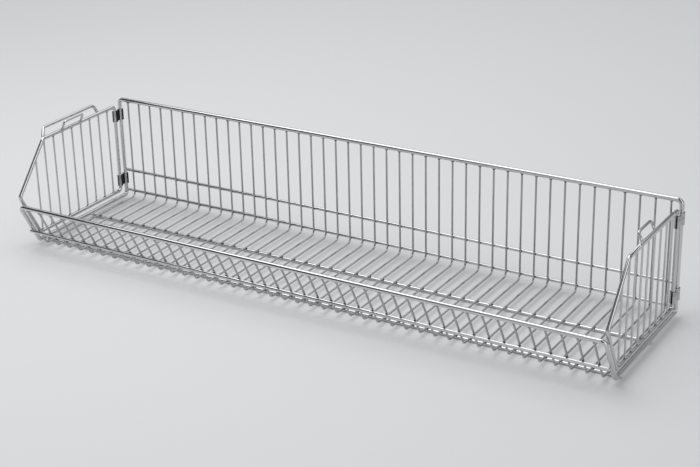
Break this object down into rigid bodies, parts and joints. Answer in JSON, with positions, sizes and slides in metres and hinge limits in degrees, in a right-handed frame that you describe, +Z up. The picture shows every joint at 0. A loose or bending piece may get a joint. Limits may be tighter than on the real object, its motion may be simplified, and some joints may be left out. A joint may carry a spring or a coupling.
{
  "type": "stacking basket",
  "caption": "Long chrome wire display basket with a high back, a low lip that leans out, and end panels that fold in against the back; loops on the ends take a basket stacked above.",
  "frame": {"origin": "on the surface that the basket stands on, under the middle of its length and depth", "axes": "+X along the basket, +Y towards its high back, +Z up"},
  "size_m": [0.9998, 0.2731, 0.187],
  "materials": {
    "chrome_wire": "bright chrome plating on drawn steel wire",
    "clip_sheet": "bright plated steel sheet, slightly duller than the wire"
  },
  "bodies": {
    "basket": {"border_frame": "chrome_wire", "basket_wire_01": "chrome_wire", "basket_wire_02": "chrome_wire", "basket_wire_03": "chrome_wire", "basket_wire_04": "chrome_wire", "basket_wire_05": "chrome_wire", "basket_wire_06": "chrome_wire", "basket_wire_07": "chrome_wire", "basket_wire_08": "chrome_wire", "basket_wire_09": "chrome_wire", "basket_wire_10": "chrome_wire", "basket_wire_11": "chrome_wire", "basket_wire_12": "chrome_wire", "basket_wire_13": "chrome_wire", "basket_wire_14": "chrome_wire", "basket_wire_15": "chrome_wire", "basket_wire_16": "chrome_wire", "basket_wire_17": "chrome_wire", "basket_wire_18": "chrome_wire", "basket_wire_19": "chrome_wire", "basket_wire_20": "chrome_wire", "basket_wire_21": "chrome_wire", "basket_wire_22": "chrome_wire", "basket_wire_23": "chrome_wire", "basket_wire_24": "chrome_wire", "basket_wire_25": "chrome_wire", "basket_wire_26": "chrome_wire", "basket_wire_27": "chrome_wire", "basket_wire_28": "chrome_wire", "basket_wire_29": "chrome_wire", "basket_wire_30": "chrome_wire", "basket_wire_31": "chrome_wire", "basket_wire_32": "chrome_wire", "basket_wire_33": "chrome_wire", "basket_wire_34": "chrome_wire", "basket_wire_35": "chrome_wire", "basket_wire_36": "chrome_wire", "basket_wire_37": "chrome_wire", "basket_wire_38": "chrome_wire", "basket_wire_39": "chrome_wire", "basket_wire_40": "chrome_wire", "basket_wire_41": "chrome_wire", "basket_wire_42": "chrome_wire", "basket_wire_43": "chrome_wire", "back_mid_rail": "chrome_wire", "back_low_rail": "chrome_wire", "floor_mid_rail": "chrome_wire", "floor_front_rail": "chrome_wire", "lip_rail": "chrome_wire", "left_lower_hinge_clip": "clip_sheet", "left_upper_hinge_clip": "clip_sheet", "right_lower_hinge_clip": "clip_sheet", "right_upper_hinge_clip": "clip_sheet"},
    "left_end": {"left_end_panel": "chrome_wire", "left_stacking_loop": "chrome_wire", "left_locating_loop": "chrome_wire"},
    "right_end": {"right_end_panel": "chrome_wire", "right_stacking_loop": "chrome_wire", "right_locating_loop": "chrome_wire"}
  },
  "joints": [
    {"name": "left_end_fold", "type": "hinge", "parent": "basket", "child": "left_end", "pos_m": [-0.4885, 0.11285, 0.096], "axis": [0, 0, 1], "range_deg": [0, 90]},
    {"name": "right_end_fold", "type": "hinge", "parent": "basket", "child": "right_end", "pos_m": [0.4885, 0.11285, 0.096], "axis": [0, 0, -1], "range_deg": [0, 90]}
  ]
}
